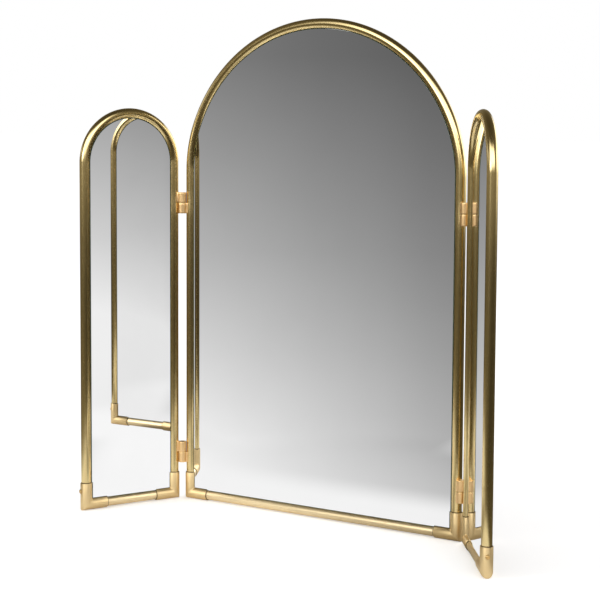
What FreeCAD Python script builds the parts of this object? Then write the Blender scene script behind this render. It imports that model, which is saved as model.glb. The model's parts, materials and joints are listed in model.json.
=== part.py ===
import FreeCAD, Part
import math
import os
import Sketcher

# A trifold vanity mirror: three arched panels of brass tube, joined by four soldered barrel hinges.
# Millimetres and degrees. +Z is up and the centre panel's glass faces -Y. The origin lies on the
# standing plane, under the middle of the centre panel's tube frame.
# Each panel is drawn in its own frame, which has X along its bottom rail, and is then placed.

SIZES = {
    # Tube, and the corner elbows that socket it. A tube stops at the shoulder inside its socket.
    "tube_od": 12.7,
    "tube_wall": 1.2,
    "elbow_wall": 1.1,
    "elbow_rim_chamfer": 0.3,
    "elbow_shoulder": 3.15,
    "socket_depth": 18.0,
    "socket_fit": 0.05,
    # Panels, measured over the outside of their tubes and up from the standing plane.
    "centre_width": 400.0,
    "centre_height": 625.0,
    "wing_width": 138.0,
    "wing_height": 514.0,
    "left_angle": 117.2,
    "right_angle": 124.4,
    # The centre panel's arch rises less than a half circle by its flattening. Its two shoulder arcs are
    # struck from either side of the middle, at the shoulder offset.
    "arch_flattening": 9.15,
    "shoulder_offset": 28.65,
    # Glass, and the board behind it, whose back lies against the lugs.
    "glass_thickness": 4.0,
    "glass_gap": 0.2,
    "board_thickness": 3.75,
    "board_gap": 0.35,
    "seat_gap": 0.05,
    # Lugs soldered inside the tubes, sunk below their backs so that nothing shows from in front, and
    # the screws that hold the board to them. Reach runs from the tube's axis to the screw.
    "lug_width": 10.0,
    "lug_thickness": 1.2,
    "lug_sink": 0.5,
    "lug_reach": 15.0,
    "lug_above_elbow": 60.0,
    "board_screw_head": 6.0,
    "board_screw_height": 1.8,
    "board_screw_shank": 2.9,
    "board_screw_bite": 3.0,
    "screw_head_bevel": 0.5,
    "screw_slot": 0.8,
    "screw_fit": 0.05,
    # The screw that locks each wing's outer elbow to its tube, through both walls.
    "lock_screw_place": 7.5,
    "lock_screw_head": 5.6,
    "lock_screw_height": 1.8,
    "lock_screw_dome": 1.44,
    "lock_screw_shank": 2.9,
    "lock_screw_overrun": 0.85,
    # Barrel hinges. Two elbows pass at the closed gap when a wing is folded flat over the glass, and at
    # the open gap when the panels are in line. Hinges are placed from the elbows and from the arches.
    "closed_gap": 1.2,
    "open_gap": 2.2,
    "lower_hinge_above_elbow": 27.5,
    "upper_hinge_below_arch": 42.65,
    "knuckle_gap": 0.25,
    "knuckle_height": 13.2,
    "knuckle_neck": 5.0,
    "washer_lip": 0.12,
    "washer_thickness": 0.8,
    "end_play": 0.1,
    "pin_od": 5.0,
    "pin_chamfer": 0.4,
    "pin_press": 0.01,
    "pin_running": 0.05,
}

# Sizes and places that follow from those, as expressions. Places are in a panel's own frame.
BORE = "(sizes.tube_od - 2 * sizes.tube_wall)"
ELBOW_OD = "(sizes.tube_od + 2 * sizes.socket_fit + 2 * sizes.elbow_wall)"
RAIL_HEIGHT = f"({ELBOW_OD} / 2)"
TUBE_STOP = "(sizes.tube_od / 2 + sizes.elbow_shoulder)"
ELBOW_LEG = f"({TUBE_STOP} + sizes.socket_depth)"
ELBOW_TOP = f"({RAIL_HEIGHT} + {ELBOW_LEG})"
SADDLE = "(sizes.tube_od + 2 * sizes.seat_gap)"
LUG_BACK = "(sizes.tube_od / 2 - sizes.lug_sink)"
LUG_FRONT = f"({LUG_BACK} - sizes.lug_thickness)"
GLASS_BACK = f"({LUG_FRONT} - sizes.board_thickness)"
GLASS_INSET = "(sizes.tube_od / 2 + sizes.glass_gap)"
ELBOW_CLEARANCE = f"({ELBOW_OD} / 2 + sizes.glass_gap)"
BOARD_INSET = "(sizes.tube_od / 2 + sizes.board_gap)"
BOARD_CLIP = f"({ELBOW_LEG} + {ELBOW_CLEARANCE} - 2 * {BOARD_INSET})"
SCREW_HOLE = "(sizes.board_screw_shank + 2 * sizes.screw_fit)"
LOCK_HOLE = "(sizes.lock_screw_shank + 2 * sizes.screw_fit)"
LOCK_LENGTH = "(sizes.elbow_wall + sizes.socket_fit + sizes.tube_wall + sizes.lock_screw_overrun)"
LOCK_UP = f"({TUBE_STOP} + sizes.lock_screw_place)"
HINGE_SIDE = f"(({ELBOW_OD} + sizes.open_gap) / 2)"
HINGE_FORWARD = f"(({ELBOW_OD} + sizes.closed_gap) / 2)"
HINGE_TO_TUBE = f"sqrt({HINGE_SIDE} ^ 2 + {HINGE_FORWARD} ^ 2)"
HINGE_BEARING = f"atan({HINGE_FORWARD} / {HINGE_SIDE}) / 1 deg"
KNUCKLE_OD = f"(2 * ({HINGE_TO_TUBE} - sizes.tube_od / 2 - sizes.knuckle_gap))"

LEFT, RIGHT = -1, 1
SIDE_NAMES = {LEFT: "left", RIGHT: "right"}
ORIGIN = (-1, 1)
START, END, CENTRE = 1, 2, 3
VERTICAL_AXIS = -2
UP = FreeCAD.Vector(0, 0, 1)
ROUNDING = 1e-4

doc = FreeCAD.newDocument("trifold_vanity_mirror")
sheet = doc.addObject("Spreadsheet::Sheet", "sizes")
for row, (alias, size) in enumerate(SIZES.items(), start=1):
    sheet.set(f"A{row}", str(size))
    sheet.setAlias(f"A{row}", alias)
doc.recompute()

bodies = []


class Panel:
    """One panel's tube axes, and where the panel stands. side is 0 for the centre, or LEFT or RIGHT."""

    def __init__(self, name, kind, side, lugs_a_side):
        self.name = name
        self.side = side
        self.lugs_a_side = lugs_a_side
        self.half = f"((sizes.{kind}_width - sizes.tube_od) / 2)"
        self.apex = f"(sizes.{kind}_height - sizes.tube_od / 2)"
        self.flattened = side == 0
        self.rise = f"({self.half} - sizes.arch_flattening)" if self.flattened else self.half
        self.shoulder = f"({self.half} - sizes.shoulder_offset)"
        self.crown = (
            f"((({self.half} - {self.shoulder}) ^ 2 + {self.rise} ^ 2 - {self.shoulder} ^ 2)"
            f" / (2 * ({self.rise} - {self.shoulder})))"
        )
        self.spring = f"({self.apex} - {self.rise})"
        self.x, self.y, self.turn = "0", "0", "0"
        if side:
            self.swing_out(side)

    def swing_out(self, side):
        """Hangs a wing on its hinge axis and turns it forward to the angle between the two panels."""
        centre_half = "(sizes.centre_width - sizes.tube_od) / 2"
        self.turn = f"({-side} * (180 - sizes.{SIDE_NAMES[side]}_angle))"
        hinge_x = f"({side} * ({centre_half} + {HINGE_SIDE}))"
        to_hinge = f"({-side} * ({self.half} + {HINGE_SIDE}))"
        self.x = f"({hinge_x} - cos({self.turn}) * {to_hinge} - sin({self.turn}) * {HINGE_FORWARD})"
        self.y = (
            f"(-{HINGE_FORWARD} - sin({self.turn}) * {to_hinge}"
            f" + cos({self.turn}) * {HINGE_FORWARD})"
        )


def number(expression):
    """What an expression comes to with the present sizes."""
    return float(sheet.evalExpression(expression.replace("sizes.", "")))


def point(x, y):
    return FreeCAD.Vector(number(x), number(y), 0)


def origin_plane(body, role):
    return next(f for f in body.Origin.OriginFeatures if f.Role == role)


def new_body(name, panel, x="0", y="0", z="0", turn="0"):
    """A sub-part's body at x, y, z of its panel's frame, turned about the vertical."""
    body = doc.addObject("PartDesign::Body", name)
    body.Label = name
    body.Placement = FreeCAD.Placement(FreeCAD.Vector(), FreeCAD.Rotation(UP, 1))
    body.setExpression("Placement.Rotation.Angle", f"{panel.turn} + ({turn})")
    along, across = f"cos({panel.turn})", f"sin({panel.turn})"
    body.setExpression("Placement.Base.x", f"{panel.x} + {along} * ({x}) - {across} * ({y})")
    body.setExpression("Placement.Base.y", f"{panel.y} + {across} * ({x}) + {along} * ({y})")
    body.setExpression("Placement.Base.z", z)
    bodies.append(body)
    return body


def new_sketch(body, name, role, offset="0"):
    """A sketch on one of the body's own origin planes, offset along that plane's normal."""
    sketch = body.newObject("Sketcher::SketchObject", name)
    sketch.AttachmentSupport = [(origin_plane(body, role), "")]
    sketch.MapMode = "FlatFace"
    sketch.setExpression("AttachmentOffset.Base.z", offset)
    return sketch


def dimension(sketch, kind, places, expression):
    """A sketch dimension that follows an expression."""
    index = sketch.addConstraint(Sketcher.Constraint(kind, *places, number(expression)))
    sketch.setExpression(f"Constraints[{index}]", expression)


def pin_down(sketch, place, x=None, y=None):
    """Holds a sketch point at x and y from the origin."""
    if x is not None:
        dimension(sketch, "DistanceX", (*ORIGIN, *place), x)
    if y is not None:
        dimension(sketch, "DistanceY", (*ORIGIN, *place), y)


def tie(sketch, kind, *places):
    sketch.addConstraint(Sketcher.Constraint(kind, *places))


def draw_circle(sketch, x, y, diameter):
    circle = sketch.addGeometry(Part.Circle(point(x, y), UP, number(diameter) / 2))
    pin_down(sketch, (circle, CENTRE), x, y)
    dimension(sketch, "Diameter", (circle,), diameter)


def draw_line(sketch, start, end):
    return sketch.addGeometry(Part.LineSegment(point(*start), point(*end)))


def draw_rectangle(sketch, low, high):
    """An upright rectangle between two corners, each given as a pair of expressions."""
    corners = [low, (high[0], low[1]), high, (low[0], high[1])]
    lines = [draw_line(sketch, corners[i], corners[(i + 1) % 4]) for i in range(4)]
    for i, line in enumerate(lines):
        tie(sketch, "Coincident", line, END, lines[(i + 1) % 4], START)
        tie(sketch, "Vertical" if i % 2 else "Horizontal", line)
    pin_down(sketch, (lines[0], START), *low)
    pin_down(sketch, (lines[2], START), *high)


def draw_arc(sketch, centre, radius, start, end):
    """An anticlockwise arc; start and end are angles in degrees, used only to draw it before solving."""
    circle = Part.Circle(point(*centre), UP, number(radius))
    return sketch.addGeometry(Part.ArcOfCircle(circle, math.radians(start), math.radians(end)))


def draw_arch(sketch, panel, inset, bottom, closed=False):
    """A panel's outline, inset from the tube axis: two uprights and the arch that joins them.

    A wing's arch is a half circle. The centre panel's is flattened: a crown arc between two tighter
    shoulder arcs, all tangent to each other and to the uprights.
    """
    half = f"({panel.half} - {inset})"
    left = draw_line(sketch, (f"-{half}", bottom), (f"-{half}", panel.spring))
    right = draw_line(sketch, (half, panel.spring), (half, bottom))
    if panel.flattened:
        side_x = f"({panel.half} - {panel.shoulder})"
        crown_y = f"({panel.apex} - {panel.crown})"
        lean = number(f"atan(({panel.spring} - {crown_y}) / {side_x})")
        shoulder = f"({panel.shoulder} - {inset})"
        crown = f"({panel.crown} - {inset})"
        right_arc = draw_arc(sketch, (side_x, panel.spring), shoulder, 0, lean)
        top = draw_arc(sketch, ("0", crown_y), crown, lean, 180 - lean)
        left_arc = draw_arc(sketch, (f"-{side_x}", panel.spring), shoulder, 180 - lean, 180)
        tie(sketch, "Tangent", right_arc, END, top, START)
        tie(sketch, "Tangent", top, END, left_arc, START)
        tie(sketch, "PointOnObject", top, CENTRE, VERTICAL_AXIS)
        tie(sketch, "Equal", left_arc, right_arc)
        dimension(sketch, "Radius", (left_arc,), shoulder)
        dimension(sketch, "Radius", (top,), crown)
    else:
        right_arc = left_arc = draw_arc(sketch, ("0", panel.spring), half, 0, 180)
    tie(sketch, "Tangent", right, START, right_arc, START)
    tie(sketch, "Tangent", left_arc, END, left, END)
    tie(sketch, "Vertical", left)
    tie(sketch, "Vertical", right)
    pin_down(sketch, (left, START), f"-{half}", bottom)
    pin_down(sketch, (right, END), half, bottom)
    pin_down(sketch, (left, END), y=panel.spring)
    if closed:
        base = draw_line(sketch, (half, bottom), (f"-{half}", bottom))
        tie(sketch, "Coincident", right, END, base, START)
        tie(sketch, "Coincident", base, END, left, START)


def pad(body, name, sketch, length, reverse=False, symmetric=False):
    feature = body.newObject("PartDesign::Pad", name)
    feature.Profile = sketch
    feature.setExpression("Length", length)
    feature.Reversed = reverse
    feature.SideType = "Symmetric" if symmetric else "One side"
    body.Tip = feature
    return feature


def pocket(body, name, sketch, depth=None, reverse=False):
    """A cut as deep as depth says, or through all where it says nothing."""
    feature = body.newObject("PartDesign::Pocket", name)
    feature.Profile = sketch
    feature.Reversed = reverse
    if depth is None:
        feature.Type = "ThroughAll"
    else:
        feature.setExpression("Length", depth)
    body.Tip = feature
    return feature


def pipe(body, kind, name, profile, spine, corner="Transformed"):
    feature = body.newObject(f"PartDesign::{kind}Pipe", name)
    feature.Profile = profile
    feature.Spine = (spine, [f"Edge{i + 1}" for i in range(spine.GeometryCount)])
    feature.Transition = corner
    body.Tip = feature
    return feature


def dress(body, kind, name, size, chosen):
    """A chamfer or fillet on the edges of the body's last feature that chosen picks."""
    doc.recompute()
    base = body.Tip
    edges = [f"Edge{i}" for i, edge in enumerate(base.Shape.Edges, start=1) if chosen(edge)]
    feature = body.newObject(f"PartDesign::{kind}", name)
    feature.Base = (base, edges)
    feature.setExpression("Radius" if kind == "Fillet" else "Size", size)
    body.Tip = feature
    return feature


def is_circle(edge, diameter):
    """Whether an edge is a whole circle of that diameter."""
    if not isinstance(edge.Curve, Part.Circle) or not edge.isClosed():
        return False
    return abs(2 * edge.Curve.Radius - number(diameter)) < ROUNDING


def follow_arch(body, panel, kind, name, *diameters):
    """Adds or cuts rings along the bent tube's axis, which starts and ends at the elbows' shoulders."""
    foot = f"({RAIL_HEIGHT} + {TUBE_STOP})"
    spine = new_sketch(body, f"{name}_axis", "XZ_Plane")
    draw_arch(spine, panel, "0", foot)
    profile = new_sketch(body, f"{name}_section", "XY_Plane", foot)
    for diameter in diameters:
        draw_circle(profile, f"-{panel.half}", "0", diameter)
    doc.recompute()
    pipe(body, kind, name, profile, spine)


def arch_tube(panel):
    """The bent tube: up one side, round the arch and down the other."""
    body = new_body(f"{panel.name}_arch_tube", panel)
    follow_arch(body, panel, "Additive", "bent_tube", "sizes.tube_od", BORE)
    if panel.side:
        drill_for_lock_screw(body, f"{panel.side} * {panel.half}", f"{RAIL_HEIGHT} + {LOCK_UP}", panel.side)


def drill_for_lock_screw(body, axis_x, height, side):
    """A hole through the outer wall of the tube or elbow whose axis stands at axis_x."""
    hole = new_sketch(body, "lock_screw_hole_place", "YZ_Plane", axis_x)
    draw_circle(hole, "0", height, LOCK_HOLE)
    pocket(body, "lock_screw_hole", hole, reverse=side == RIGHT)


def bottom_rail(panel):
    body = new_body(f"{panel.name}_bottom_rail", panel, z=RAIL_HEIGHT)
    section = new_sketch(body, "tube_section", "YZ_Plane")
    draw_circle(section, "0", "0", "sizes.tube_od")
    draw_circle(section, "0", "0", BORE)
    pad(body, "straight_tube", section, f"2 * ({panel.half} - {TUBE_STOP})", symmetric=True)


def elbow(panel, side, name):
    """A mitred corner of two short legs, bored through and counterbored as a socket for each tube.

    Its own frame has the mitre's corner at the origin, with legs along +X and +Z.
    """
    turn = "180" if side == RIGHT else "0"
    body = new_body(f"{panel.name}_{name}", panel, f"{side} * {panel.half}", "0", RAIL_HEIGHT, turn)
    corner = new_sketch(body, "corner_axis", "XZ_Plane")
    upright = draw_line(corner, ("0", ELBOW_LEG), ("0", "0"))
    level = draw_line(corner, ("0", "0"), (ELBOW_LEG, "0"))
    tie(corner, "Coincident", upright, END, level, START)
    tie(corner, "Coincident", upright, END, *ORIGIN)
    tie(corner, "Vertical", upright)
    tie(corner, "Horizontal", level)
    pin_down(corner, (upright, START), y=ELBOW_LEG)
    pin_down(corner, (level, END), x=ELBOW_LEG)
    for part, kind, diameter in (("outside", "Additive", ELBOW_OD), ("bore", "Subtractive", BORE)):
        section = new_sketch(body, f"{part}_section", "XY_Plane", ELBOW_LEG)
        draw_circle(section, "0", "0", diameter)
        doc.recompute()
        pipe(body, kind, part, section, corner, "Right corner")
    for leg, role in (("upright", "XY_Plane"), ("level", "YZ_Plane")):
        mouth = new_sketch(body, f"{leg}_mouth", role, ELBOW_LEG)
        draw_circle(mouth, "0", "0", "sizes.tube_od + 2 * sizes.socket_fit")
        pocket(body, f"{leg}_socket", mouth, "sizes.socket_depth")
    if panel.side and side == panel.side:
        # This body's own +X points inward, so its outer wall always lies on the -X side.
        drill_for_lock_screw(body, "0", LOCK_UP, LEFT)
    dress(body, "Chamfer", "rims", "sizes.elbow_rim_chamfer", lambda e: is_circle(e, ELBOW_OD))


def mirror_glass(panel):
    """The glass, close to the tubes all round, with its lower corners stepped in past the elbows."""
    body = new_body(f"{panel.name}_mirror_glass", panel)
    outline = new_sketch(body, "glass_outline", "XZ_Plane", f"-{GLASS_BACK}")
    draw_arch(outline, panel, GLASS_INSET, f"({RAIL_HEIGHT} + {GLASS_INSET})", closed=True)
    pad(body, "glass_sheet", outline, "sizes.glass_thickness")
    steps = {
        "upright": (ELBOW_CLEARANCE, f"({ELBOW_TOP} + sizes.glass_gap)"),
        "level": (f"({ELBOW_LEG} + sizes.glass_gap)", f"({RAIL_HEIGHT} + {ELBOW_CLEARANCE})"),
    }
    for leg, (wide, top) in steps.items():
        step = new_sketch(body, f"{leg}_steps", "XZ_Plane", f"-{GLASS_BACK}")
        draw_rectangle(step, (f"-{panel.half}", RAIL_HEIGHT), (f"-({panel.half} - {wide})", top))
        draw_rectangle(step, (f"({panel.half} - {wide})", RAIL_HEIGHT), (panel.half, top))
        pocket(body, f"{leg}_relief", step, reverse=True)


def lug_stations(panel):
    """Where the lugs stand: (x, z, outward direction) of each, on the tube axis."""
    lowest = f"({ELBOW_TOP} + sizes.lug_above_elbow)"
    step = f"(({panel.spring} - {lowest}) / {panel.lugs_a_side - 1})"
    heights = [f"({lowest} + {i} * {step})" for i in range(panel.lugs_a_side)]
    stations = [(f"{side} * {panel.half}", height, (side, 0)) for side in (LEFT, RIGHT) for height in heights]
    stations.append(("0", panel.apex, (0, 1)))
    stations.append(("0", RAIL_HEIGHT, (0, -1)))
    return stations


def screw_places(panel):
    """The centre of each board screw, a lug's reach inside the tube axis."""
    reach = "sizes.lug_reach"
    return [(f"({x} - {dx} * {reach})", f"({z} - {dz} * {reach})") for x, z, (dx, dz) in lug_stations(panel)]


def backing_board(panel):
    """The board behind the glass, with its lower corners clipped to clear the elbows."""
    body = new_body(f"{panel.name}_backing_board", panel)
    outline = new_sketch(body, "board_outline", "XZ_Plane", f"-{LUG_FRONT}")
    bottom = f"({RAIL_HEIGHT} + {BOARD_INSET})"
    draw_arch(outline, panel, BOARD_INSET, bottom, closed=True)
    pad(body, "board_sheet", outline, "sizes.board_thickness")
    holes = new_sketch(body, "pilot_places", "XZ_Plane", f"-{LUG_FRONT}")
    for x, z in screw_places(panel):
        draw_circle(holes, x, z, SCREW_HOLE)
    pocket(body, "pilot_holes", holes, "sizes.board_screw_bite + sizes.screw_fit", reverse=True)

    def is_lower_corner(edge):
        low = [vertex.Point for vertex in edge.Vertexes]
        upright = len(low) == 2 and abs(low[0].y - low[1].y) > number("sizes.board_thickness") - ROUNDING
        return upright and all(abs(p.z - number(bottom)) < ROUNDING for p in low)

    dress(body, "Chamfer", "clipped_corners", BOARD_CLIP, is_lower_corner)


def draw_tongue(sketch, x, z, outward):
    """A lug's outline: a strip from the tube's axis to a round end about its screw."""
    dx, dz = outward
    half = "(sizes.lug_width / 2)"
    tip = (f"({x} - {dx} * sizes.lug_reach)", f"({z} - {dz} * sizes.lug_reach)")
    root = (x, z)

    def beside(place, sign):
        return (f"({place[0]} - {sign * dz} * {half})", f"({place[1]} + {sign * dx} * {half})")

    bearing = {(1, 0): 0, (0, 1): 90, (-1, 0): 180, (0, -1): 270}[outward]
    end = draw_arc(sketch, tip, half, bearing + 90, bearing + 270)
    near = draw_line(sketch, beside(tip, -1), beside(root, -1))
    across = draw_line(sketch, beside(root, -1), beside(root, 1))
    far = draw_line(sketch, beside(root, 1), beside(tip, 1))
    tie(sketch, "Tangent", end, END, near, START)
    tie(sketch, "Coincident", near, END, across, START)
    tie(sketch, "Coincident", across, END, far, START)
    tie(sketch, "Tangent", far, END, end, START)
    level, upright = ("Horizontal", "Vertical") if dx else ("Vertical", "Horizontal")
    tie(sketch, level, near)
    tie(sketch, level, far)
    tie(sketch, upright, across)
    pin_down(sketch, (end, CENTRE), *tip)
    dimension(sketch, "Radius", (end,), half)
    if dx:
        pin_down(sketch, (across, START), x=root[0])
    else:
        pin_down(sketch, (across, START), y=root[1])


def board_lugs(panel):
    """Flat brass tongues soldered inside the tubes, each saddled on its tube behind a board screw."""
    body = new_body(f"{panel.name}_board_lugs", panel)
    outline = new_sketch(body, "lug_outlines", "XZ_Plane", f"-{LUG_FRONT}")
    for x, z, outward in lug_stations(panel):
        draw_tongue(outline, x, z, outward)
    pad(body, "lugs", outline, "sizes.lug_thickness", reverse=True)
    follow_arch(body, panel, "Subtractive", "arch_saddles", SADDLE)
    beside_lug = new_sketch(body, "rail_place", "YZ_Plane", "-sizes.lug_width")
    draw_circle(beside_lug, "0", RAIL_HEIGHT, SADDLE)
    pocket(body, "rail_saddle", beside_lug, reverse=True)
    holes = new_sketch(body, "screw_places", "XZ_Plane", f"-{LUG_FRONT}")
    for x, z in screw_places(panel):
        draw_circle(holes, x, z, SCREW_HOLE)
    pocket(body, "screw_holes", holes)


def board_screws(panel):
    """Slotted screws with bevelled heads, through the lugs and into the board."""
    body = new_body(f"{panel.name}_board_screws", panel)
    heads = new_sketch(body, "head_places", "XZ_Plane", f"-{LUG_BACK}")
    shanks = new_sketch(body, "shank_places", "XZ_Plane", f"-{LUG_BACK}")
    slots = new_sketch(body, "slot_places", "XZ_Plane", f"-({LUG_BACK} + sizes.board_screw_height)")
    for x, z in screw_places(panel):
        draw_circle(heads, x, z, "sizes.board_screw_head")
        draw_circle(shanks, x, z, "sizes.board_screw_shank")
        low = (f"{x} - sizes.board_screw_head", f"{z} - sizes.screw_slot / 2")
        high = (f"{x} + sizes.board_screw_head", f"{z} + sizes.screw_slot / 2")
        draw_rectangle(slots, low, high)
    pad(body, "heads", heads, "sizes.board_screw_height", reverse=True)
    head_back = number(f"{LUG_BACK} + sizes.board_screw_height")
    dress(
        body,
        "Chamfer",
        "bevelled_heads",
        "sizes.screw_head_bevel",
        lambda e: is_circle(e, "sizes.board_screw_head") and abs(e.Curve.Center.y - head_back) < ROUNDING,
    )
    pad(body, "shanks", shanks, "sizes.lug_thickness + sizes.board_screw_bite")
    pocket(body, "slots", slots, "sizes.screw_slot", reverse=True)


def lock_screw(panel):
    """The domed screw through the outer elbow and the tube in it. Its own +X points out of the elbow."""
    turn = "180" if panel.side == LEFT else "0"
    at_tube = f"{panel.side} * {panel.half}"
    body = new_body(f"{panel.name}_lock_screw", panel, at_tube, "0", f"{RAIL_HEIGHT} + {LOCK_UP}", turn)
    seat = f"({ELBOW_OD} / 2)"
    top = f"({seat} + sizes.lock_screw_height)"
    head = new_sketch(body, "head_section", "YZ_Plane", seat)
    draw_circle(head, "0", "0", "sizes.lock_screw_head")
    pad(body, "head", head, "sizes.lock_screw_height")

    def is_top_edge(edge):
        return is_circle(edge, "sizes.lock_screw_head") and abs(edge.Curve.Center.x - number(top)) < ROUNDING

    dress(body, "Fillet", "dome", "sizes.lock_screw_dome", is_top_edge)
    shank = new_sketch(body, "shank_section", "YZ_Plane", seat)
    draw_circle(shank, "0", "0", "sizes.lock_screw_shank")
    pad(body, "shank", shank, LOCK_LENGTH, reverse=True)
    slot = new_sketch(body, "slot_place", "YZ_Plane", top)
    low = ("-sizes.lock_screw_head", "-sizes.screw_slot / 2")
    high = ("sizes.lock_screw_head", "sizes.screw_slot / 2")
    draw_rectangle(slot, low, high)
    pocket(body, "slot", slot, "sizes.screw_slot")


def knuckle(name, panel, hinge_x, tube_side, bottom, bore):
    """A hinge barrel with the neck that saddles it on a tube. Its own +X points at that tube's axis."""
    turn = HINGE_BEARING if tube_side == RIGHT else f"180 - {HINGE_BEARING}"
    body = new_body(name, panel, hinge_x, f"-{HINGE_FORWARD}", bottom, turn)
    barrel = new_sketch(body, "barrel_section", "XY_Plane")
    draw_circle(barrel, "0", "0", KNUCKLE_OD)
    pad(body, "barrel", barrel, "sizes.knuckle_height")
    neck = new_sketch(body, "neck_section", "XY_Plane")
    draw_rectangle(neck, ("0", "-sizes.knuckle_neck / 2"), (HINGE_TO_TUBE, "sizes.knuckle_neck / 2"))
    pad(body, "neck", neck, "sizes.knuckle_height")
    saddle = new_sketch(body, "tube_place", "XY_Plane")
    draw_circle(saddle, HINGE_TO_TUBE, "0", SADDLE)
    pocket(body, "saddle", saddle, reverse=True)
    hole = new_sketch(body, "pin_place", "XY_Plane")
    draw_circle(hole, "0", "0", f"sizes.pin_od + 2 * {bore}")
    pocket(body, "pin_bore", hole, reverse=True)


def hinge(centre, wing, level, middle):
    """A hinge's four pieces: the centre's knuckle, the washer and the wing's knuckle, on one pin."""
    name = f"{SIDE_NAMES[wing.side]}_{level}_hinge"
    washer_bottom = f"({middle} - sizes.washer_thickness / 2)"
    centre_bottom = f"({washer_bottom} - sizes.knuckle_height)"
    wing_bottom = f"({middle} + sizes.washer_thickness / 2 + sizes.end_play)"
    at_centre = f"{wing.side} * ({centre.half} + {HINGE_SIDE})"
    at_wing = f"{-wing.side} * ({wing.half} + {HINGE_SIDE})"
    knuckle(f"{name}_centre_knuckle", centre, at_centre, -wing.side, centre_bottom, "sizes.pin_press")
    knuckle(f"{name}_wing_knuckle", wing, at_wing, wing.side, wing_bottom, "sizes.pin_running")

    washer = new_body(f"{name}_washer", centre, at_centre, f"-{HINGE_FORWARD}", washer_bottom)
    ring = new_sketch(washer, "ring", "XY_Plane")
    draw_circle(ring, "0", "0", f"{KNUCKLE_OD} + 2 * sizes.washer_lip")
    draw_circle(ring, "0", "0", "sizes.pin_od + 2 * sizes.pin_running")
    pad(washer, "washer", ring, "sizes.washer_thickness")

    pin = new_body(f"{name}_pin", centre, at_centre, f"-{HINGE_FORWARD}", centre_bottom)
    section = new_sketch(pin, "pin_section", "XY_Plane")
    draw_circle(section, "0", "0", "sizes.pin_od")
    length = "2 * sizes.knuckle_height + sizes.washer_thickness + sizes.end_play"
    pad(pin, "pin", section, length)
    dress(pin, "Chamfer", "pin_ends", "sizes.pin_chamfer", lambda e: is_circle(e, "sizes.pin_od"))


def build_panel(panel, left_elbow, right_elbow):
    arch_tube(panel)
    bottom_rail(panel)
    elbow(panel, LEFT, left_elbow)
    elbow(panel, RIGHT, right_elbow)
    mirror_glass(panel)
    backing_board(panel)
    board_lugs(panel)
    board_screws(panel)
    if panel.side:
        lock_screw(panel)


def check(document):
    """Stops on a failed object, a sub-part that isn't sound, or a cut that took nothing away."""
    for item in document.Objects:
        if {"Invalid", "Error"} & set(item.State):
            raise RuntimeError(f"{item.Label} failed: {item.State}")
        if item.TypeId in ("PartDesign::Pocket", "PartDesign::SubtractivePipe"):
            if item.Shape.Volume > item.BaseFeature.Shape.Volume - ROUNDING:
                raise RuntimeError(f"{item.Label} in {item.getParentGeoFeatureGroup().Label} cuts nothing")
    for body in bodies:
        if body.Shape.isNull() or not body.Shape.isValid() or not body.Shape.Solids:
            raise RuntimeError(f"{body.Label} has no sound shape")


centre_panel = Panel("centre", "centre", 0, 3)
left_wing = Panel("left_wing", "wing", LEFT, 2)
right_wing = Panel("right_wing", "wing", RIGHT, 2)

build_panel(centre_panel, "left_elbow", "right_elbow")
build_panel(left_wing, "outer_elbow", "hinge_elbow")
build_panel(right_wing, "hinge_elbow", "outer_elbow")
low_hinge = f"({ELBOW_TOP} + sizes.lower_hinge_above_elbow)"
for wing_panel in (left_wing, right_wing):
    lower_arch = f"min({centre_panel.spring}; {wing_panel.spring})"
    high_hinge = f"({lower_arch} - sizes.upper_hinge_below_arch)"
    hinge(centre_panel, wing_panel, "lower", low_hinge)
    hinge(centre_panel, wing_panel, "upper", high_hinge)

doc.recompute()
check(doc)
os.makedirs("parts", exist_ok=True)
for body in bodies:
    body.Shape.exportStep(f"parts/{body.Label}.step")
    print(f"{body.Label}: {len(body.Shape.Solids)} solid(s), {body.Shape.Volume:.0f} mm3")
print(f"crown radius {number(centre_panel.crown):.1f} mm, {len(bodies)} sub-parts")
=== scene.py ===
"""The looks of a trifold vanity mirror: three arched panels of brass tube on barrel hinges.

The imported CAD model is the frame. Finer meshes of the same size stand in for its tubes, elbows,
hinges, glass and boards, and its lugs and screws keep their shape and get a better finish.
Lengths are in metres. A panel has its own axes, with X along its rail, -Y out of the glass and Z up
from the middle of its foot. Pieces are made in those axes and then placed with their panel.
"""

import json
import math

import bmesh
import bpy
from mathutils import Matrix, Vector, noise

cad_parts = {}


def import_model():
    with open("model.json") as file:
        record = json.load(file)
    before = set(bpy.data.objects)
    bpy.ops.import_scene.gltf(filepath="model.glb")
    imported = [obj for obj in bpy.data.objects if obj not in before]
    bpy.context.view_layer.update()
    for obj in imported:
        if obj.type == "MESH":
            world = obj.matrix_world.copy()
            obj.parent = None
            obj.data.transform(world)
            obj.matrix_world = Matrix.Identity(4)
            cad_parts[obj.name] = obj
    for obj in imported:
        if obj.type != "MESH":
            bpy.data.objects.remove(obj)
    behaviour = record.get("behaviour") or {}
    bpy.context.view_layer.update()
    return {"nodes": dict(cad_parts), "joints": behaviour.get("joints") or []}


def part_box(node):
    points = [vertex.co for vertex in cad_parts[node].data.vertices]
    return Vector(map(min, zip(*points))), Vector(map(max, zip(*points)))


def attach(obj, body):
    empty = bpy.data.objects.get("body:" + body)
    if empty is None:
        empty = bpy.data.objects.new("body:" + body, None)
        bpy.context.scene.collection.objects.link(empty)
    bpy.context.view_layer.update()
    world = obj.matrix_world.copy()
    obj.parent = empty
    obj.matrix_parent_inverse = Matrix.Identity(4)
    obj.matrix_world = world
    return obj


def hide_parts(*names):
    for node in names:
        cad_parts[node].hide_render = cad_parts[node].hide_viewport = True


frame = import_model()

MM = 0.001
LEFT, RIGHT = -1, 1
SIDES = {"left": LEFT, "right": RIGHT}

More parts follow.
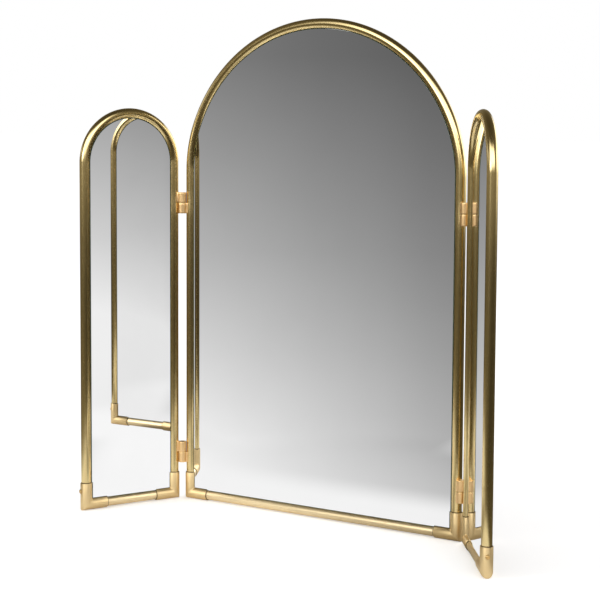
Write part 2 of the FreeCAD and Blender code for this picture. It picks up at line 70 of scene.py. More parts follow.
# Driving sizes. What the frame's boxes give is measured from them below.
WING_WIDTH = 138 * MM
ARCH_FLATTENING = 9.15 * MM
SHOULDER_OFFSET = 28.65 * MM
SOCKET_DEPTH = 18 * MM
GLASS_GAP = 0.2 * MM
BOARD_BEVEL = 0.6 * MM
GLASS_BEVEL = 0.15 * MM
RIM_ROUND = 0.35 * MM
RIM_CORNER = 0.3 * RIM_ROUND
MOUTH_DEPTH = 1.2 * MM
MOUTH_GAP = 0.65 * MM
MITRE_ROUND = 1.3 * MM
PIN_CHAMFER = 0.4 * MM
PIN_GAP = 0.04 * MM
KNUCKLE_ROUND = 0.3 * MM
WASHER_ROUND = 0.2 * MM
WASHER_LIP = 0.12 * MM

# The solder between a knuckle and its tube: how deep its feet sink into the tube, half its waist, how
# far the waist lies from the tube, how far the feet spread, and what share of that at the barrel.
SOLDER_DEPTH = 0.15 * MM
SOLDER_WAIST = 2.5 * MM
SOLDER_WAIST_OFF = 0.2 * MM
SOLDER_FLARE = 1.0 * MM
SOLDER_AT_BARREL = 0.6
# How uneven the spread is, and how much and how suddenly it narrows at the knuckle's ends.
SOLDER_UNEVEN = 0.35
SOLDER_TAPER = 0.25
SOLDER_TAPER_POWER = 6
# Where its noise is read: by bank, by the hinge's height and by the height in the knuckle.
SOLDER_NOISE = (3.1, 40, 260)

# Fineness of the meshes.
TUBE_SIDES = 64
ARC_STEP = math.radians(1.25)
MITRE_STEPS = 6
KNUCKLE_STEPS = 8
KNUCKLE_EDGE_STEPS = 2
SOLDER_STEPS = 5
SWEEP_SIDES = 96
SHARP_ANGLE = math.radians(35)


# ---------------------------------------------------------------- the frame's own sizes


def node_radius(node):
    """The radius of an upright round CAD node."""
    low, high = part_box(node)
    return (high.x - low.x) / 2


def node_height(node):
    """How tall a CAD node is."""
    low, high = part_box(node)
    return high.z - low.z


def fold(side):
    """The axis that a side's wing folds on, as its point on the floor, and the wing's turn at rest.

    The turn is from where the wing is in line with the centre panel.
    """
    joint = next(j for j in frame["joints"] if j["child"] == f"{side}_wing")
    axis = Vector(joint["pos_m"])
    axis.z = 0
    return axis, math.radians(-SIDES[side] * (180 + min(joint["range_deg"])))


tube_low, tube_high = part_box("centre_arch_tube")
rail_low, rail_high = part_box("centre_bottom_rail")
elbow_low, elbow_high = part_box("centre_right_elbow")
glass_low, glass_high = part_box("centre_mirror_glass")
board_low, board_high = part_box("centre_backing_board")

TUBE_RADIUS = (rail_high.y - rail_low.y) / 2
ELBOW_RADIUS = (elbow_high.y - elbow_low.y) / 2
RAIL_HEIGHT = (elbow_low.z + 2 * ELBOW_RADIUS) / 2
ELBOW_TOP = elbow_high.z
TUBE_FOOT = tube_low.z
CENTRE_HALF = tube_high.x - TUBE_RADIUS
GLASS_INSET = CENTRE_HALF - glass_high.x
BOARD_INSET = CENTRE_HALF - board_high.x
ELBOW_LEG = ELBOW_TOP - RAIL_HEIGHT
BOARD_CLIP = ELBOW_LEG + ELBOW_RADIUS + GLASS_GAP - 2 * BOARD_INSET


class Panel:
    """One arched panel: its body, its half width between tube axes, its heights and its place.

    A flattened arch has two round shoulders, whose centres lie at an offset from the middle, and a
    flatter crown between them.
    """

    def __init__(self, name, body, half, apex, flattening, offset, place):
        self.name = name
        self.body = body
        self.half = half
        self.apex = apex
        self.spring = apex - half + flattening
        self.offset = offset
        self.place = place

    def arch(self, inset=0.0):
        """Points of the arch, from its left spring to its right, with their outward directions."""
        shoulder = self.half - self.offset
        rise = self.apex - self.spring
        runs = [(-self.offset, self.spring, shoulder, math.pi, math.pi / 2)]
        if self.offset:
            crown = (self.offset**2 + rise**2 - shoulder**2) / (2 * (rise - shoulder))
            middle = self.apex - crown
            turn = math.atan2(self.spring - middle, self.offset)
            runs = [
                (-self.offset, self.spring, shoulder, math.pi, math.pi - turn),
                (0, middle, crown, math.pi - turn, math.pi / 2),
            ]
        mirrored = [(-x, z, r, math.pi - stop, math.pi - start) for x, z, r, start, stop in runs[::-1]]
        points = []
        for x, z, radius, start, stop in runs + mirrored:
            count = max(1, math.ceil((start - stop) / ARC_STEP))
            first = 1 if points else 0
            for step in range(first, count + 1):
                angle = start + (stop - start) * step / count
                out = Vector((math.cos(angle), 0, math.sin(angle)))
                points.append((Vector((x, 0, z)) + out * (radius - inset), out))
        return points


def wing(side):
    """A side's wing, swung from in line with the centre panel to the angle it has at rest."""
    name = f"{side}_wing"
    axis, turn = fold(side)
    half = WING_WIDTH / 2 - TUBE_RADIUS
    aside = abs(axis.x) - CENTRE_HALF
    in_line = Matrix.Translation((SIDES[side] * (abs(axis.x) + aside + half), 0, 0))
    swing = Matrix.Rotation(turn, 4, "Z")
    place = Matrix.Translation(axis) @ swing @ Matrix.Translation(-axis) @ in_line
    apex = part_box(f"{name}_arch_tube")[1].z - TUBE_RADIUS
    return Panel(name, name, half, apex, 0.0, 0.0, place)


centre = Panel(
    "centre",
    "centre_panel",
    CENTRE_HALF,
    tube_high.z - TUBE_RADIUS,
    ARCH_FLATTENING,
    SHOULDER_OFFSET,
    Matrix.Identity(4),
)
wings = {side: wing(side) for side in SIDES}
panels = [centre, *wings.values()]


# ---------------------------------------------------------------- mesh tools


def skin(node, rings, place, body, materials, looped=False):
    """A closed piece through rings of points that stands for a CAD node.

    A looped one closes from its last ring to its first, and any other has flat ends. Its UV is in
    metres: how far round a ring a point lies, and how far from the nearer end.
    """
    bm = bmesh.new()
    uv = bm.loops.layers.uv.new("metres")
    rows = [[bm.verts.new(point) for point in ring] for ring in rings]
    sides = len(rings[0])
    girth = max(sum((ring[i] - ring[i - 1]).length for i in range(sides)) for ring in rings)
    along = [0.0]
    for before, ring in zip(rings, rings[1:] + rings[:1]):
        along.append(along[-1] + (ring[0] - before[0]).length)
    if not looped:
        along = [min(reach, along[len(rings) - 1] - reach) for reach in along]
    for row in range(len(rows) if looped else len(rows) - 1):
        low, high = rows[row], rows[(row + 1) % len(rows)]
        for side in range(sides):
            after = (side + 1) % sides
            face = bm.faces.new((low[side], low[after], high[after], high[side]))
            face.smooth = True
            places = ((side, row), (side + 1, row), (side + 1, row + 1), (side, row + 1))
            for loop, (u, v) in zip(face.loops, places):
                loop[uv].uv = (girth * u / sides, along[v])
    if not looped:
        for ends in (rows[0], rows[-1]):
            face = bm.faces.new(ends)
            for loop in face.loops:
                loop[uv].uv = (loop.vert.co.x, loop.vert.co.z)
    bmesh.ops.recalc_face_normals(bm, faces=bm.faces)
    bm.transform(place)
    mesh = bpy.data.meshes.new(f"{node}.look")
    bm.to_mesh(mesh)
    bm.free()
    mesh.set_sharp_from_angle(angle=SHARP_ANGLE)
    for material in materials:
        mesh.materials.append(material)
    piece = bpy.data.objects.new(f"{node}.look", mesh)
    bpy.context.scene.collection.objects.link(piece)
    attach(piece, body)
    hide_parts(node)
    return piece


def circle(middle, radius, across, over, sides=TUBE_SIDES):
    """A ring of points about a middle, in the plane of two unit directions."""
    turns = [2 * math.pi * i / sides for i in range(sides)]
    return [middle + radius * (math.cos(t) * across + math.sin(t) * over) for t in turns]


def lathe(profile, sides=TUBE_SIDES):
    """Rings about the Z axis through a profile of (radius, height)."""
    x, y = Vector((1, 0, 0)), Vector((0, 1, 0))
    return [circle(Vector((0, 0, height)), radius, x, y, sides) for radius, height in profile]


def rounded(radius, low, high, cut, steps=3):
    """A profile up a cylinder's side whose two edges are rounded by a cut."""
    turns = [math.pi / 2 * i / steps for i in range(steps + 1)]
    bottom = [(radius - cut * (1 - math.sin(t)), low + cut * (1 - math.cos(t))) for t in turns]
    top = [(radius - cut * (1 - math.cos(t)), high - cut * (1 - math.sin(t))) for t in turns]
    return bottom + top


# ---------------------------------------------------------------- pieces

Y_AXIS = Vector((0, 1, 0))
Z_AXIS = Vector((0, 0, 1))


def arch_tube(panel, material):
    """The bent tube: up one side, over the arch and down the other."""
    arch = panel.arch()
    left, right = arch[0], arch[-1]
    feet = [(Vector((end[0].x, 0, TUBE_FOOT)), end[1]) for end in (left, right)]
    line = [feet[0], *arch, feet[1]]
    rings = [circle(point, TUBE_RADIUS, out, Y_AXIS) for point, out in line]
    skin(f"{panel.name}_arch_tube", rings, panel.place, panel.body, [material])


def bottom_rail(panel, material):
    """The straight tube between the elbows."""
    reach = panel.half - (TUBE_FOOT - RAIL_HEIGHT)
    places = [Vector((x, 0, RAIL_HEIGHT)) for x in (-reach, 0, reach)]
    rings = [circle(place, TUBE_RADIUS, Z_AXIS, Y_AXIS) for place in places]
    skin(f"{panel.name}_bottom_rail", rings, panel.place, panel.body, [material])


def elbow(panel, side, name, materials):
    """A mitred corner: two sockets that meet on the mitre plane, which is eased by polishing.

    Each socket's mouth opens in a small bevel, which has the second material: grime with painted shade
    for the gap there.
    """
    corner = Vector((side * panel.half, 0, RAIL_HEIGHT))
    inward = Vector((-side, 0, 0))
    socket = ELBOW_LEG - SOCKET_DEPTH
    profile = [
        (TUBE_RADIUS, socket),
        (TUBE_RADIUS, ELBOW_LEG - MOUTH_DEPTH),
        (TUBE_RADIUS + MOUTH_GAP, ELBOW_LEG),
        (ELBOW_RADIUS - RIM_ROUND, ELBOW_LEG),
        (ELBOW_RADIUS - RIM_CORNER, ELBOW_LEG - RIM_CORNER),
        (ELBOW_RADIUS, ELBOW_LEG - RIM_ROUND),
    ]

    def leg(along, across):
        """A socket's rings, from its shoulder out to its mouth and back over its rim."""
        return [circle(corner + along * reach, radius, across, Y_AXIS) for radius, reach in profile]

    rail_leg, tube_leg = leg(inward, Z_AXIS), leg(Z_AXIS, inward)
    bend = [[] for _ in range(MITRE_STEPS + 1)]
    for turn in range(TUBE_SIDES):
        angle = 2 * math.pi * turn / TUBE_SIDES
        reach = ELBOW_RADIUS * math.cos(angle)
        aside = Y_AXIS * ELBOW_RADIUS * math.sin(angle)
        peak = corner + (inward + Z_AXIS) * reach + aside
        for step in range(MITRE_STEPS + 1):
            t = step / MITRE_STEPS
            bend[step].append(peak + MITRE_ROUND * (inward * (1 - t) ** 2 + Z_AXIS * t**2))
    rings = rail_leg + bend + tube_leg[::-1]
    piece = skin(name, rings, panel.place, panel.body, materials)
    # The bevels, which take the grime and painted shade, are the second row of faces from each end.
    mouths = (1, len(rings) - 3)
    for face in piece.data.polygons[: TUBE_SIDES * (len(rings) - 1)]:
        if face.index // TUBE_SIDES in mouths:
            face.material_index = 1


def plate(panel, node, outline, front, back, bevel, materials):
    """A flat plate with eased edges, and how many points go round it.

    Its outline is a function of how far in from its edge it runs.
    """
    rings = []
    for inward, y in ((bevel, front), (0.0, front + bevel), (0.0, back - bevel), (bevel, back)):
        rings.append([Vector((p.x, y, p.z)) for p in outline(inward)])
    piece = skin(node, rings, panel.place, panel.body, materials)
    return piece, len(rings[0])


def both_sides(corners):
    """The lower right corners of an outline, given as (x, z), and then its lower left ones."""
    right = [Vector((x, 0, z)) for x, z in corners]
    return right + [Vector((-p.x, 0, p.z)) for p in right[::-1]]


def mirror_glass(panel, silver, edge, paint):
    """The mirror, stepped past the elbows: a silver front face, a painted back one and the edge."""

    def outline(inward):
        """The glass's outline, drawn in by a length."""
        arch = [point for point, _ in panel.arch(GLASS_INSET + inward)]
        past_elbow = ELBOW_RADIUS + GLASS_GAP + inward
        side = panel.half - GLASS_INSET - inward
        inner = panel.half - past_elbow
        step = panel.half - ELBOW_LEG - GLASS_GAP - inward
        ledge = ELBOW_TOP + GLASS_GAP + inward
        foot = glass_low.z + inward
        corners = [(side, ledge), (inner, ledge), (inner, RAIL_HEIGHT + past_elbow)]
        return arch + both_sides(corners + [(step, RAIL_HEIGHT + past_elbow), (step, foot)])

    node = f"{panel.name}_mirror_glass"
    materials = [silver, edge, paint]
    front, back = glass_low.y, glass_high.y
    piece, count = plate(panel, node, outline, front, back, GLASS_BEVEL, materials)
    # The two flat faces come after the three rows that go round the edge.
    front_face, back_face = 3 * count, 3 * count + 1
    for face in piece.data.polygons:
        face.material_index = {front_face: 0, back_face: 2}.get(face.index, 1)


def backing_board(panel, material):
    """The board behind the glass, held on the lugs, with its lower corners cut off."""

    def outline(inward):
        """The board's outline, drawn in by a length."""
        arch = [point for point, _ in panel.arch(BOARD_INSET + inward)]
        side = panel.half - BOARD_INSET - inward
        foot = board_low.z + inward
        cut = BOARD_CLIP - inward * math.tan(math.pi / 8)
        return arch + both_sides([(side, foot + cut), (side - cut, foot)])

    node = f"{panel.name}_backing_board"
    plate(panel, node, outline, board_low.y, board_high.y, BOARD_BEVEL, [material])


# ---------------------------------------------------------------- hinges


def solder(bank, swell, cut, radius, to_tube):
    """One bank of the solder: the angle at which it leaves the barrel, and its curve to the tube."""
    seat = TUBE_RADIUS - SOLDER_DEPTH
    at_barrel = math.asin((SOLDER_WAIST + SOLDER_FLARE * swell * SOLDER_AT_BARREL - cut) / radius)
    at_tube = math.asin((SOLDER_WAIST + SOLDER_FLARE * swell - cut) / seat)
    start = Vector((radius * math.cos(at_barrel), bank * radius * math.sin(at_barrel), 0))
    end = Vector((to_tube - seat * math.cos(at_tube), bank * seat * math.sin(at_tube), 0))
    waist = Vector((to_tube - TUBE_RADIUS - SOLDER_WAIST_OFF, bank * (SOLDER_WAIST - cut), 0))
    curve = []
    for step in range(SOLDER_STEPS + 1):
        t = step / SOLDER_STEPS
        curve.append(start * (1 - t) ** 2 + waist * 2 * t * (1 - t) + end * t**2)
    return at_barrel, curve


def knuckle(name, part, body, side, place, to_tube, material):
    """A hinge's knuckle with the solder that joins it to its tube, which its X axis points to."""
    node = f"{name}_{part}"
    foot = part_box(node)[0].z
    tall = node_height(node)
    radius = node_radius(f"{name}_washer") - WASHER_LIP
    bore = node_radius(f"{name}_pin") + PIN_GAP
    by_bank, by_hinge, by_height = SOLDER_NOISE

    def outline(level, cut):
        """The plan at a level: from the tube along the solder, round the barrel and back to it."""
        ends = abs(2 * level / tall - 1) ** SOLDER_TAPER_POWER
        banks = []
        for bank in (1, -1):
            seed = Vector((bank * by_bank + side, foot * by_hinge, level * by_height))
            swell = 1 + SOLDER_UNEVEN * noise.noise(seed) - SOLDER_TAPER * ends
            banks.append(solder(bank, swell, cut, radius, to_tube))
        (first, near), (last, far) = banks
        round_steps = TUBE_SIDES - 2
        spread = 2 * math.pi - first - last
        barrel = []
        for step in range(1, round_steps):
            angle = first + spread * step / round_steps
            barrel.append(Vector((math.cos(angle), math.sin(angle), 0)) * (radius - cut))
        return [Vector((p.x, p.y, level)) for p in near[::-1] + barrel + far]

    def bore_ring(level, count):
        """An even ring round the bore, which starts and ends half a step from the tube's side."""
        turns = [2 * math.pi * (step + 0.5) / count for step in range(count)]
        return [Vector((bore * math.cos(t), bore * math.sin(t), level)) for t in turns]

    edges = rounded(0.0, 0.0, tall, KNUCKLE_ROUND, KNUCKLE_EDGE_STEPS)
    bottom, top = edges[: KNUCKLE_EDGE_STEPS + 1], edges[KNUCKLE_EDGE_STEPS + 1 :]
    wall = [(0.0, tall * step / KNUCKLE_STEPS) for step in range(1, KNUCKLE_STEPS)]
    rings = [outline(level, -cut) for cut, level in bottom + wall + top]
    count = len(rings[0])
    rings += [bore_ring(tall, count), bore_ring(0.0, count)]
    skin(node, rings, place, body, [material], looped=True)


def hinge(side, level, finishes):
    """A barrel hinge: the centre's knuckle below, a washer, the wing's knuckle above and the pin."""
    name = f"{side}_{level}_hinge"
    washer, pin = f"{name}_washer", f"{name}_pin"
    axis, turned = fold(side)
    aside = abs(axis.x) - CENTRE_HALF
    to_tube = math.hypot(aside, axis.y)
    to_right = math.atan2(-axis.y, aside)
    to_left = math.pi - to_right
    to_centre, to_wing = (to_right, to_left) if side == "left" else (to_left, to_right)

    def stand(node, angle=0.0):
        """A place on the axis, at a node's foot and turned by an angle."""
        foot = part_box(node)[0].z
        return Matrix.Translation((axis.x, axis.y, foot)) @ Matrix.Rotation(angle, 4, "Z")

    for part, body, angle in (
        ("centre_knuckle", "centre_panel", to_centre),
        ("wing_knuckle", f"{side}_wing", to_wing + turned),
    ):
        place = stand(f"{name}_{part}", angle)
        knuckle(name, part, body, SIDES[side], place, to_tube, finishes["hinge"])

    radius, thick, long = node_radius(pin), node_height(washer), node_height(pin)
    wall = rounded(node_radius(washer), 0.0, thick, WASHER_ROUND)
    rings = lathe(wall + [(radius + PIN_GAP, thick), (radius + PIN_GAP, 0.0)])
    skin(washer, rings, stand(washer), "centre_panel", [finishes["washer"]], looped=True)
    shank = [(radius - PIN_CHAMFER, 0), (radius, PIN_CHAMFER), (radius, long - PIN_CHAMFER)]
    rings = lathe(shank + [(radius - PIN_CHAMFER, long)])
    skin(pin, rings, stand(pin), "centre_panel", [finishes["pin"]])


# ---------------------------------------------------------------- colours and marks

GOLD = (0.82, 0.65, 0.32, 1)
AGED_GOLD = (0.55, 0.39, 0.16, 1)
SATIN_GOLD = (0.84, 0.62, 0.31, 1)
# The rails' brass is paler than the tubes': painted light, for the brighter light that they catch.
RAIL_GOLD_LIT = (0.90, 0.73, 0.45, 1)
RAIL_AGED_LIT = (0.76, 0.57, 0.31, 1)
ELBOW_GOLD = (0.78, 0.595, 0.315, 1)
ELBOW_AGED = (0.66, 0.475, 0.23, 1)
COPPER_GOLD = (0.94, 0.64, 0.32, 1)
COPPER_AGED = (0.78, 0.50, 0.23, 1)
WARM_GOLD = (0.86, 0.64, 0.31, 1)
WARM_AGED = (0.64, 0.43, 0.18, 1)
# Grime with painted shade: the dark of the seams and gaps where tubes go into their elbows.
GRIME_AND_SHADE = (0.10, 0.055, 0.02, 1)
GRIME_AND_SHADE_EDGE = (0.22, 0.13, 0.05, 1)
PIN_STEEL = ((0.62, 0.56, 0.46, 1), (0.40, 0.34, 0.26, 1))
SCREW_STEEL = ((0.66, 0.60, 0.48, 1), (0.42, 0.36, 0.27, 1))

# The marks on brass, by how many lie in a metre: across and along a piece, or all round.
POLISH_LINES = (2600, 22, 2600)
POLISH_BANDS = (420, 7, 420)
HAND_WAVES = (60, 14, 60)
TARNISH_PATCHES = 38.0
PITS = 600.0
# Where tarnish and polishing lines set in on their noise, and how much they change colour and roughness.
TARNISH_EDGE = (0.50, 0.74)
TARNISH_COLOUR = 0.45
TARNISH_ROUGHNESS = 0.05
POLISH_EDGE = (0.16, 0.36)
POLISH_COLOUR = 0.22
POLISH_ROUGHNESS = 0.06
# Bumps, by strength and by height.
POLISH_BUMP = (0.018, 0.05 * MM)
PITS_BUMP = (0.018, 0.04 * MM)
WAVES_BUMP = (0.12, 0.6 * MM)

# The satin patch round a hinge: how far it reaches, how ragged its edge is, its roughness and how much
# it colours.
SATIN_REACH = (4 * MM, 30 * MM)
SATIN_RAGGED = 10 * MM
SATIN_ROUGHNESS = 0.28
SATIN_COLOUR = 0.35
# The dark seam at a socket's mouth, solder grime with painted shade for the gap: how far it reaches to
# each side, how ragged it is, how dark and how rough.
SEAM_REACH = (0.7 * MM, 1.7 * MM)
SEAM_RAGGED = 0.4 * MM
SEAM_DARK = 0.9
SEAM_ROUGHNESS = 0.35

# How much each panel's silver reflects where it is clean, and how much less where it is hazed. The
# panels
# differ as painted light and shade: the left wing's silver is paler and the right wing's darker than the
# centre's.
SILVER_LIT_AND_SHADED = {"centre": 0.955, "left_wing": 0.99, "right_wing": 0.92}
SILVER_HAZE = 0.02
HAZE_EDGE = (0.35, 0.75)
# Its roughness where it is hazed, and what is added to that for rays from brass.
HAZE_ROUGHNESS = 0.003
HAZE_ROUGH_EDGE = (0.45, 0.85)
SILVER_TO_BRASS = 0.03
SILVER_BUMP = (0.02, 0.8 * MM)


# ---------------------------------------------------------------- materials


def grey(level):
    """A grey colour."""
    return (level, level, level, 1)


BLACK, WHITE = grey(0), grey(1)


class Graph:
    """The nodes of a material or a world."""

    def __init__(self, owner):
        owner.use_nodes = True
        self.owner = owner
        self.tree = owner.node_tree
        self.shader = self.tree.nodes.get("Principled BSDF")

    def add(self, kind, inputs=None, **settings):
        """A new node. An input is a value or another node's output."""
        node = self.tree.nodes.new(kind)
        for key, value in settings.items():
            setattr(node, key, value)
        for key, value in (inputs or {}).items():
            self.put(node.inputs[key], value)
        return node

    def put(self, socket, value):
        """Sets a socket to a value, or links another node's output to it."""
        if isinstance(value, bpy.types.NodeSocket):
            self.tree.links.new(value, socket)
        else:
            socket.default_value = value

    def set(self, **inputs):
        """Sets the shader's inputs, with spaces in their names written as underscores."""
        for key, value in inputs.items():
            self.put(self.shader.inputs[key.replace("_", " ")], value)

    def show(self, shader):
        """Makes a shader's node the material's surface."""
        self.put(self.tree.nodes["Material Output"].inputs["Surface"], shader.outputs[0])

    def place(self, coordinates="Object"):
        """Where a point of the surface is."""
        return self.add("ShaderNodeTexCoord").outputs[coordinates]

    def stretch(self, vector, scale):
        """A vector scaled by an amount for each axis."""
        return self.add("ShaderNodeMapping", {"Vector": vector, "Scale": scale}).outputs["Vector"]

    def noise(self, vector, scale=1.0, detail=4.0, roughness=0.55):
        """A cloudy noise between 0 and 1."""
        inputs = {"Vector": vector, "Scale": scale, "Detail": detail, "Roughness": roughness}
        return self.add("ShaderNodeTexNoise", inputs).outputs["Fac"]

    def span(self, value, low, high, to_low=0.0, to_high=1.0):
        """Maps a range of a value smoothly to another."""
        inputs = {"Value": value, "From Min": low, "From Max": high}
        inputs.update({"To Min": to_low, "To Max": to_high})
        return self.add("ShaderNodeMapRange", inputs, interpolation_type="SMOOTHSTEP").outputs["Result"]

    def mix(self, share, first, second):
        """Mixes two colours. A Mix node keeps its colour sockets after those of its other types."""
        node = self.add("ShaderNodeMix", {"Factor": share}, data_type="RGBA")
        self.put(node.inputs[6], first)
        self.put(node.inputs[7], second)
        return node.outputs[2]

    def math(self, operation, *values):
        """An operation on numbers."""
        node = self.add("ShaderNodeMath", dict(enumerate(values)), operation=operation)
        return node.outputs[0]

    def vector(self, operation, *values, gives="Vector"):
        """An operation on vectors, which gives a Vector or a Value."""
        node = self.add("ShaderNodeVectorMath", dict(enumerate(values)), operation=operation)
        return node.outputs[gives]

    def total(self, first, *others):
        """The sum of some numbers."""
        for other in others:
            first = self.math("ADD", first, other)
        return first

    def profile(self, value, stops):
        """A grey from a value between 0 and 1, by straight lines between (value, level) stops."""
        node = self.add("ShaderNodeValToRGB", {"Fac": value})
        points = node.color_ramp.elements
        while len(points) < len(stops):
            points.new(0.5)
        for point, (place, level) in zip(points, stops):
            point.position = place
            point.color = grey(level)
        return node.outputs["Color"]

    def bump(self, height, strength, distance, normal=None):
        """A normal tilted by a height, on top of another's tilt if one is given."""
        inputs = {"Height": height, "Strength": strength, "Distance": distance}
        if normal:
            inputs["Normal"] = normal
        return self.add("ShaderNodeBump", inputs).outputs["Normal"]


def new_material(name):
    """The graph of a new material."""
    return Graph(bpy.data.materials.new(name))


def near_hinges(graph, ragged):
    """1 beside a hinge, falling to 0 a little way off. Ragged is a noise that breaks up the edge.

    The hinges lie alike at both sides, so the distance is taken on one side.
    """
    axis, _ = fold("left")
    place = graph.vector("ABSOLUTE", graph.place())
    shares = []
    for level in ("lower", "upper"):
        low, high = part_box(f"left_{level}_hinge_washer")
        middle = (abs(axis.x), abs(axis.y), (low.z + high.z) / 2)
        away = graph.vector("DISTANCE", place, middle, gives="Value")
        away = graph.math("MULTIPLY_ADD", ragged, SATIN_RAGGED, away)
        shares.append(graph.span(away, *SATIN_REACH, 1.0, 0.0))
    return graph.math("MAXIMUM", *shares)


def seam_shade_at_mouth(graph, place, ragged):
    """How dark the seam is, solder grime with painted shade for the gap: most where a tube goes into its
    elbow, and 0 a little way off.
    """
    along = graph.add("ShaderNodeSeparateXYZ", {"Vector": place}).outputs["Y"]
    off = graph.math("ABSOLUTE", graph.math("SUBTRACT", along, SOCKET_DEPTH))
    off = graph.math("MULTIPLY_ADD", ragged, SEAM_RAGGED, off)
    return graph.span(off, *SEAM_REACH, SEAM_DARK, 0.0)


def brass(name, bright, worn, rough=0.15, lines=1.0, coordinates="UV", soldered=False, socketed=False):
    """Polished brass: lengthwise polishing lines, tarnish in patches, and fine pits.

    Lines scales how strongly the polishing lines show. A soldered tube is satin round its hinges,
    where it was cleaned by hand. A socketed one has a dark seam where it goes into its elbows, solder
    grime with painted shade for the gap.
    """
    graph = new_material(name)
    place = graph.place(coordinates)
    fine = graph.noise(graph.stretch(place, POLISH_LINES), detail=3.0)
    bands = graph.noise(graph.stretch(place, POLISH_BANDS), detail=2.0)
    patches = graph.noise(place, TARNISH_PATCHES, detail=6.0, roughness=0.62)
    pits = graph.noise(place, PITS, detail=2.0)
    waves = graph.noise(graph.stretch(place, HAND_WAVES), detail=1.0)
    tarnish = graph.span(patches, *TARNISH_EDGE)
    brushed = graph.span(graph.math("MULTIPLY", fine, bands), *POLISH_EDGE)
    colour = graph.mix(graph.math("MULTIPLY", tarnish, TARNISH_COLOUR), bright, worn)
    colour = graph.mix(graph.math("MULTIPLY", brushed, POLISH_COLOUR * lines), colour, worn)
    uneven = POLISH_ROUGHNESS * lines
    roughness = graph.math("MULTIPLY_ADD", fine, uneven, rough - uneven / 2)
    roughness = graph.math("MULTIPLY_ADD", tarnish, TARNISH_ROUGHNESS, roughness)
    if soldered:
        satin = near_hinges(graph, patches)
        roughness = graph.math("MULTIPLY_ADD", satin, SATIN_ROUGHNESS - rough, roughness)
        colour = graph.mix(graph.math("MULTIPLY", satin, SATIN_COLOUR), colour, SATIN_GOLD)
    if socketed:
        # Solder grime with painted shade for the gap where the tube goes into its elbow.
        seam = seam_shade_at_mouth(graph, place, patches)
        colour = graph.mix(seam, colour, GRIME_AND_SHADE)
        roughness = graph.math("MULTIPLY_ADD", seam, SEAM_ROUGHNESS, roughness)
    strength, distance = POLISH_BUMP
    relief = graph.bump(fine, strength * lines, distance)
    relief = graph.bump(pits, *PITS_BUMP, relief)
    relief = graph.bump(waves, *WAVES_BUMP, relief)
    graph.set(Base_Color=colour, Metallic=1.0, Roughness=roughness, Normal=relief)
    return graph.owner


def silver(name, bright):
    """The silvered face of a glass, which is all but flat and clean. Bright is how much it reflects.

    Only the camera and other mirrors see the grey sweep in it. What brass sees in it is the room.
    """
    graph = new_material(name)
    place = graph.place()
    haze = graph.noise(place, scale=9.0, detail=5.0)
    colour = graph.mix(graph.span(haze, *HAZE_EDGE), grey(bright), grey(bright - SILVER_HAZE))
    relief = graph.bump(graph.noise(place, scale=6.0, detail=0.0), *SILVER_BUMP)
    rays = graph.add("ShaderNodeLightPath").outputs
    from_brass = graph.math("SUBTRACT", rays["Is Glossy Ray"], rays["Is Singular Ray"])
    hazed = graph.span(haze, *HAZE_ROUGH_EDGE, 0.0, HAZE_ROUGHNESS)
    roughness = graph.math("MULTIPLY_ADD", from_brass, SILVER_TO_BRASS, hazed)
    graph.set(Base_Color=colour, Metallic=1.0, Roughness=roughness, Normal=relief)
    return graph.owner


def glass_edge():
    """The ground and polished edge of the glass, green in depth."""
    graph = new_material("glass_edge")
    grind = graph.noise(graph.stretch(graph.place(), (300, 2500, 300)), detail=3.0)
    deep, pale = (0.10, 0.16, 0.14, 1), (0.24, 0.33, 0.29, 1)
    roughness = graph.span(grind, 0.3, 0.7, to_low=0.12, to_high=0.32)
    relief = graph.bump(grind, strength=0.2, distance=0.05 * MM)
    graph.set(Base_Color=graph.mix(grind, deep, pale), Roughness=roughness, Normal=relief)
    return graph.owner


def back_paint():
    """The grey-brown paint that seals the silver at the back, a little orange-peeled."""
    graph = new_material("mirror_back_paint")
    place = graph.place()
    peel = graph.noise(place, scale=900.0, detail=3.0)
    cloud = graph.noise(place, scale=30.0)
    dark, pale = (0.15, 0.14, 0.125, 1), (0.20, 0.185, 0.165, 1)
    colour = graph.mix(graph.span(cloud, 0.35, 0.7), dark, pale)
    roughness = graph.span(cloud, 0.3, 0.7, to_low=0.38, to_high=0.55)
    relief = graph.bump(peel, strength=0.3, distance=0.1 * MM)
    graph.set(Base_Color=colour, Roughness=roughness, Normal=relief)
    return graph.owner


def hardboard():
    """Dark smooth board with a faint pressed grain, rubbed paler in places."""
    graph = new_material("dark_hardboard")
    place = graph.place()
    fibres = graph.noise(graph.stretch(place, (900, 900, 90)), detail=6.0, roughness=0.65)
    cloud = graph.noise(place, scale=14.0, detail=5.0)
    flecks = graph.noise(place, scale=420.0, detail=3.0)
    dark, brown = (0.075, 0.040, 0.021, 1), (0.135, 0.076, 0.042, 1)
    rubbed, fleck = (0.19, 0.115, 0.068, 1), (0.25, 0.17, 0.11, 1)
    colour = graph.mix(graph.span(fibres, 0.3, 0.7), dark, brown)
    colour = graph.mix(graph.span(cloud, 0.42, 0.75, to_high=0.5), colour, rubbed)
    colour = graph.mix(graph.span(flecks, 0.66, 0.74, to_high=0.5), colour, fleck)
    roughness = graph.span(cloud, 0.3, 0.7, to_low=0.42, to_high=0.62)
    relief = graph.bump(fibres, strength=0.25, distance=0.2 * MM)
    graph.set(Base_Color=colour, Roughness=roughness, Normal=relief)
    return graph.owner


def steel(name, light, dark):
    """Turned steel with a fine grain and faint stains."""
    graph = new_material(name)
    place = graph.place()
    grain = graph.noise(place, scale=700.0)
    stain = graph.noise(place, scale=120.0, detail=3.0)
    colour = graph.mix(graph.span(stain, 0.4, 0.7), light, dark)
    roughness = graph.span(grain, 0.3, 0.7, to_low=0.22, to_high=0.42)
    relief = graph.bump(grain, strength=0.15, distance=0.05 * MM)
    graph.set(Base_Color=colour, Metallic=1.0, Roughness=roughness, Normal=relief)
    return graph.owner


